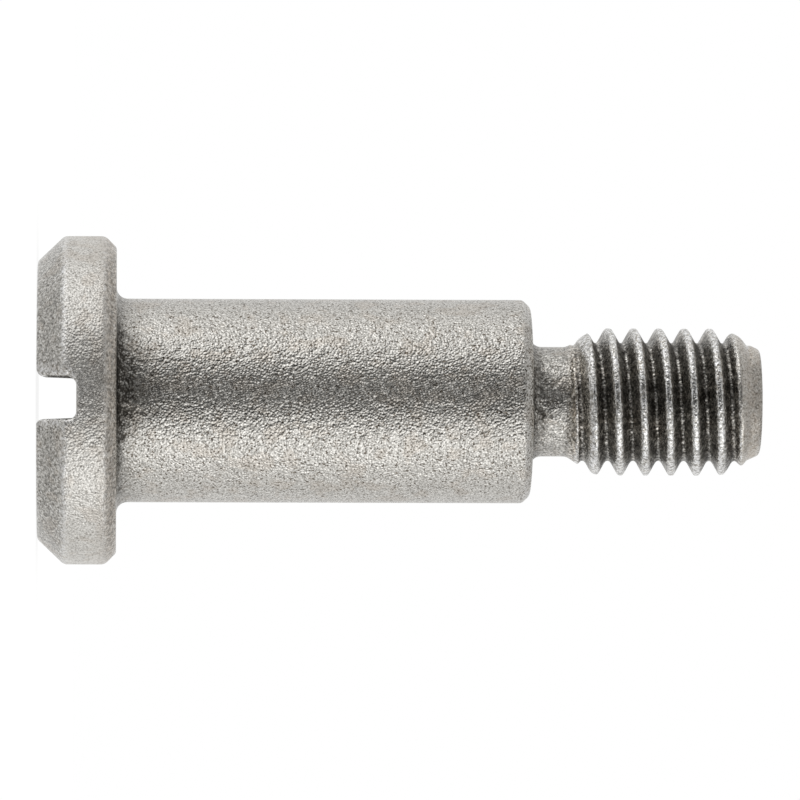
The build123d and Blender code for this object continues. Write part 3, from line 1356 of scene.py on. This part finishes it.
@dataclass(frozen=True)
class SatinSteel:
    """Pebbled satin steel, bright where it has rubbed, with a painted highlight on the slot's lip, and dark
    where dirt stays and shade is painted.
    """

    light: Colour = (0.915, 0.893, 0.845, 1.0)
    shade: Colour = (0.463, 0.448, 0.412, 1.0)
    bright: Colour = (0.97, 0.96, 0.94, 1.0)
    stained: Colour = (0.56, 0.475, 0.385, 1.0)
    # Dark colour of the dirt and of the painted shade.
    dirt_and_shade_colour: Colour = (0.064, 0.058, 0.05, 1.0)
    # Dark brown of the painted shade in the pits.
    pit_shade: Colour = (0.128, 0.1, 0.072, 1.0)
    grain_size: float = 0.000095
    grain_depth: float = 0.0000265
    pitting: float = 0.6
    pit_shade_share: float = 0.9
    spared_pit_shade: float = 0.45
    smooth_pit_shade: float = 0.35
    gloss_patch_size: float = 0.0022
    stain_patch_size: float = 0.0009
    stain_seed: tuple[float, float, float] = (0.03, 0.01, 0.02)
    stain_patch_span: Point = (0.55, 1.0)
    stain_patch_most: float = 0.27
    stain_size: float = 0.0002
    stain_breaking: float = 1.2
    wear_and_sheen_size: float = 0.00018
    wear_and_sheen_breaking: float = 0.9
    wear_and_sheen_share: float = 0.92
    dirt_and_shade_size: float = 0.00011
    dirt_and_shade_breaking: float = 0.5
    dirt_and_shade_relief: float = -1.2
    haze_paleness: float = 0.27
    crumb_size: float = 0.00011
    crumb_detail: float = 1.0
    crumb_span: Point = (0.3, 0.7)
    crumb_levels: Point = (0.35, 1.65)
    crumb_wear_span: Point = (0.0, 2.0)
    rubbed_crumbs: float = 0.3
    roughness: float = 0.17
    roughness_swing: Point = (-0.04, 0.05)
    dirt_and_shade_roughness: float = 0.42
    smooth_roughness: float = 0.32
    haze_roughness: float = 0.35
    smooth_bump: float = 0.42
    grit_bump: float = 0.25
    wave_size: float = 0.0012
    wave_height: float = 1.2

    def material(self, effects: Effects) -> bpy.types.Material:
        """Build the finish.

        Args:
            effects: The shared effects.

        Returns:
            The material.
        """
        made, shader = start_material("satin_steel")
        tree = SteelTree(made.node_tree, effects)
        marks = {name: tree.add("Attribute", attribute_name=name).outputs["Fac"] for name in MARKS}
        smooth, haze, grit = (marks[name] for name in ("smooth", "haze", "grit"))
        grain = tree.grain(Size=self.grain_size, Pitting=self.pitting)
        low = tree.math("MULTIPLY", grain["Relief"], self.dirt_and_shade_relief)
        # Wear and the painted highlight on the slot's lip, broken up.
        worn = tree.broken(marks["wear_and_sheen"], grain["Relief"], self.wear_and_sheen_size, self.wear_and_sheen_breaking)
        # Dirt and painted shade, broken up and kept in the grain's hollows.
        dirt_and_shade_mask = tree.broken(marks["dirt_and_shade"], low, self.dirt_and_shade_size, self.dirt_and_shade_breaking)
        tree.feed(self.colour(tree, grain, marks, worn, dirt_and_shade_mask), shader.inputs["Base Color"])

        least, most = self.roughness_swing
        rough = tree.patches(Size=self.gloss_patch_size)
        rough = tree.remap(rough, (0.0, 1.0), (self.roughness + least, self.roughness + most))
        rough = tree.mix_value(smooth, rough, self.smooth_roughness)
        rough = tree.mix_value(haze, rough, self.haze_roughness)
        tree.feed(tree.mix_value(dirt_and_shade_mask, rough, self.dirt_and_shade_roughness), shader.inputs["Roughness"])

        share = tree.remap(smooth, (0.0, 1.0), (1.0, self.smooth_bump))
        share = tree.math("SUBTRACT", share, tree.math("MULTIPLY", grit, self.grit_bump))
        wave = tree.math("MULTIPLY", tree.noise(tree.place, self.wave_size), self.wave_height)
        height = tree.math("ADD", tree.math("MULTIPLY", grain["Height"], share), wave)
        bump = tree.add("Bump", {"Strength": 1.0, "Distance": self.grain_depth, "Height": height})
        tree.feed(bump.outputs["Normal"], shader.inputs["Normal"])
        shader.inputs["Metallic"].default_value = 1.0
        return made

    def colour(
        self,
        tree: SteelTree,
        grain: bpy.types.NodeOutputs,
        marks: dict[str, Socket],
        worn: Socket,
        dirt_and_shade_mask: Socket,
    ) -> Socket:
        """Layer the steel's colours: bare, stained, rubbed with a painted highlight on the slot's lip,
        painted shade in the pits, dirt with painted shade, and crumbly.

        Args:
            tree: The material's tree.
            grain: The grain's outputs.
            marks: The plain marks, by name.
            worn: The broken wear, with the painted highlight on the slot's lip.
            dirt_and_shade_mask: The broken dirt and painted shade.

        Returns:
            The finished colour.
        """
        wear_and_sheen, brown, smooth, haze, grit = (marks[name] for name in MARKS if name != "dirt_and_shade")
        patch = tree.patches(Size=self.stain_patch_size, Seed=self.stain_seed)
        patch = tree.remap(patch, self.stain_patch_span, (0.0, self.stain_patch_most))
        line = tree.broken(brown, 0.0, self.stain_size, self.stain_breaking)
        hazy = tree.math("MULTIPLY", haze, self.haze_paleness)
        pale = tree.math("ADD", grain["Speckle"], hazy, clamp=True)
        colour = tree.mix(pale, self.shade, self.light)
        colour = tree.mix(tree.math("MAXIMUM", patch, line), colour, self.stained)
        # Rubbed wear, and a painted highlight on the slot's lip.
        colour = tree.mix(tree.math("MULTIPLY", worn, self.wear_and_sheen_share), colour, self.bright)
        # Painted shade in the pits, dark brown, less where the skin is hazy, gritty and smooth.
        spared = tree.math("MULTIPLY", tree.math("MAXIMUM", haze, grit), self.spared_pit_shade)
        spared = tree.math("MAXIMUM", spared, tree.math("MULTIPLY", smooth, self.smooth_pit_shade))
        pits = tree.math("SUBTRACT", self.pit_shade_share, spared)
        colour = tree.mix(tree.math("MULTIPLY", grain["Pits"], pits), colour, self.pit_shade)
        # Dirt and painted shade: corners, grooves, beside the head, on the neck and under the slot's worn
        # lip.
        colour = tree.mix(dirt_and_shade_mask, colour, self.dirt_and_shade_colour)
        crumbs = tree.noise(tree.place, self.crumb_size, self.crumb_detail)
        crumbs = tree.remap(crumbs, self.crumb_span, self.crumb_levels)
        kept = tree.remap(wear_and_sheen, self.crumb_wear_span, (1.0, self.rubbed_crumbs))
        share = tree.math("MULTIPLY", grit, kept)
        return tree.mix(1.0, colour, tree.mix_value(share, 1.0, crumbs), "MULTIPLY")


@dataclass(frozen=True)
class MattePaint:
    """A plain pale floor, which looks partly white from itself so that shadows stay faint."""

    colour: Colour = (0.96, 0.96, 0.96, 1.0)
    white: Colour = (1.0, 1.0, 1.0, 1.0)
    white_share: float = 0.88

    def material(self) -> bpy.types.Material:
        """Build the finish.

        Returns:
            The material.
        """
        made, shader = start_material("pale_floor")
        tree = NodeTree(made.node_tree)
        shader.inputs["Base Color"].default_value = self.colour
        shader.inputs["Roughness"].default_value = 1.0
        shader.inputs["Specular IOR Level"].default_value = 0.0
        share = tree.math("MULTIPLY", tree.add("LightPath").outputs["Is Camera Ray"], self.white_share)
        white = tree.add("Emission", {"Color": self.white, "Strength": 1.0}).outputs[0]
        both = tree.add("MixShader", {0: share, 1: shader.outputs[0], 2: white}).outputs[0]
        tree.feed(both, made.node_tree.nodes["Material Output"].inputs["Surface"])
        return made


@dataclass(frozen=True)
class Panel:
    """A round glowing patch of the tent beside the bolt, in degrees from the camera's side."""

    angle: float
    half_width: float
    softness: float
    glow: float
    lean: float = 14.0

    def glow_at(self, tree: NodeTree, direction: Socket) -> Socket:
        """Give the patch's glow.

        Args:
            tree: The tree that takes the nodes.
            direction: The way from the bolt to the cloth.

        Returns:
            The glow in that direction.
        """
        across, lean = sin(radians(self.angle)), radians(self.lean)
        middle = (across * cos(lean), -cos(radians(self.angle)), across * sin(lean))
        apart = tree.math("ARCCOSINE", tree.vector("DOT_PRODUCT", direction, middle).outputs["Value"])
        outer, inner = radians(self.half_width + self.softness), radians(self.half_width - self.softness)
        return tree.remap(apart, (outer, inner), (0.0, self.glow))


@dataclass(frozen=True)
class TentCloth:
    """Glowing cloth, dark in front, pale behind, even at the poles and bright in its panels."""

    panels: tuple[Panel, ...] = (Panel(-74.0, 28.0, 36.8, 1.56), Panel(57.0, 33.6, 40.0, 1.48))
    behind: float = 0.785
    front: float = 0.01
    above: float = 0.5
    below: float = 0.53
    turn_span: Point = (-0.547, 0.547)
    pole_span: Point = (0.35, 0.75)

    def material(self) -> bpy.types.Material:
        """Build the finish.

        Returns:
            The material.
        """
        made, _ = start_material("tent_cloth")
        made.node_tree.nodes.clear()
        tree = NodeTree(made.node_tree)
        unit = tree.vector("NORMALIZE", tree.add("TexCoord").outputs["Object"]).outputs[0]
        axes = tree.add("SeparateXYZ", {0: unit}).outputs
        level = tree.remap(axes["Y"], self.turn_span, (self.front, self.behind))
        level = tree.mix_value(tree.remap(axes["Z"], self.pole_span), level, self.above)
        down = tree.remap(tree.math("MULTIPLY", axes["Z"], -1.0), self.pole_span)
        level = tree.mix_value(down, level, self.below)
        for panel in self.panels:
            level = tree.math("MAXIMUM", level, panel.glow_at(tree, unit))
        glow = tree.add("Emission", {"Strength": level})
        tree.add("OutputMaterial", {"Surface": glow.outputs[0]})
        made.cycles.emission_sampling = "NONE"
        return made


@dataclass
class Studio:
    """Floor, tent, lamp, room light and camera."""

    floor_size: float = 0.5
    floor_gap: float = 0.00001
    tent_radius: float = 1.5
    tent_segments: int = 48
    lamp_size: float = 1.2
    lamp_height: float = 1.0
    lamp_power: float = 3.0
    room_colour: Colour = (1.0, 1.0, 1.0, 1.0)
    room_strength: float = 1.0
    camera_distance: float = 0.325
    camera_tilt: float = 1.95
    camera_roll: float = 0.18
    lens: float = 371.7
    sensor: float = 36.0
    nearest: float = 0.01
    aim: tuple[float, float, float] = (-0.00005, 0.0, 0.01425)

    def build(self) -> list[bpy.types.Object]:
        """Set the whole studio up.

        Returns:
            Its objects.
        """
        self.light_room()
        bpy.context.scene.view_settings.view_transform = "Standard"
        return [self.floor(), self.tent(), self.lamp(), self.camera()]

    def floor(self) -> bpy.types.Object:
        """Lay the floor that the bolt stands on.

        Returns:
            The floor.
        """
        half = self.floor_size / 2
        mesh = bpy.data.meshes.new("floor")
        corners = [(x * half, y * half, -self.floor_gap) for x, y in ((-1, -1), (1, -1), (1, 1), (-1, 1))]
        mesh.from_pydata(corners, [], [(0, 1, 2, 3)])
        mesh.materials.append(MattePaint().material())
        floor = place_object("floor", mesh)
        floor.visible_glossy = False
        return floor

    def tent(self) -> bpy.types.Object:
        """Hang the tent whose cloth the steel mirrors, dark in front and bright at the sides.

        Returns:
            The tent, which only reflections show.
        """
        shell = bmesh.new()
        count = self.tent_segments
        bmesh.ops.create_uvsphere(shell, u_segments=count, v_segments=count // 2, radius=self.tent_radius)
        mesh = bpy.data.meshes.new("tent")
        shell.to_mesh(mesh)
        shell.free()
        mesh.materials.append(TentCloth().material())
        tent = place_object("tent", mesh)
        for ray in ("camera", "diffuse", "shadow", "transmission", "volume_scatter"):
            setattr(tent, "visible_" + ray, False)
        return tent

    def lamp(self) -> bpy.types.Object:
        """Hang one broad soft lamp overhead, so that shadows stay short and soft.

        Returns:
            The lamp.
        """
        light = bpy.data.lights.new("overhead_softbox", "AREA")
        light.shape = "SQUARE"
        light.size = self.lamp_size
        light.energy = self.lamp_power
        lamp = place_object("overhead_softbox", light)
        lamp.location = (0.0, 0.0, self.lamp_height)
        lamp.visible_glossy = False
        lamp.visible_camera = False
        return lamp

    def light_room(self) -> None:
        """Light the room evenly."""
        world = bpy.data.worlds.new("white_room")
        world.use_nodes = True
        back = world.node_tree.nodes["Background"]
        back.inputs["Color"].default_value = self.room_colour
        back.inputs["Strength"].default_value = self.room_strength
        bpy.context.scene.world = world

    def camera(self) -> bpy.types.Object:
        """Place the camera level with the bolt's middle, turned so that the bolt lies across.

        Returns:
            The camera.
        """
        tilt, roll = radians(self.camera_tilt), radians(self.camera_roll)
        look = Vector((0.0, cos(tilt), sin(tilt)))
        flat_right = Vector((0.0, -sin(tilt), cos(tilt)))
        flat_up = Vector((-1.0, 0.0, 0.0))
        right = flat_right * cos(roll) + flat_up * sin(roll)
        up = flat_up * cos(roll) - flat_right * sin(roll)
        lens = bpy.data.cameras.new("camera")
        lens.lens = self.lens
        lens.sensor_width = self.sensor
        lens.clip_start = self.nearest
        camera = place_object("camera", lens)
        turn = Matrix((right, up, -look)).transposed().to_4x4()
        camera.matrix_world = Matrix.Translation(Vector(self.aim) - look * self.camera_distance) @ turn
        bpy.context.scene.camera = camera
        return camera


def main() -> None:
    """Build and dress the bolt, then set up the studio round it."""
    logging.basicConfig(level=logging.INFO, format="%(name)s: %(message)s")
    low, high = (np.array(corner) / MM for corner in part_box(NODE))
    head = Head(diameter=float(high[0] - low[0]))
    shoulder = Shoulder()
    stud = Stud(start=head.height + shoulder.length, tip=float(high[2]))
    bolt = ShoulderBolt(head, shoulder, stud)
    skin = bolt.build()
    bolt.dress(skin, SatinSteel().material(Effects()))
    log.info("%s: %d vertices, %d faces", skin.name, len(skin.data.vertices), len(skin.data.polygons))
    for piece in Studio().build():
        log.info("%s: set up", piece.name)


if __name__ == "__main__":
    main()
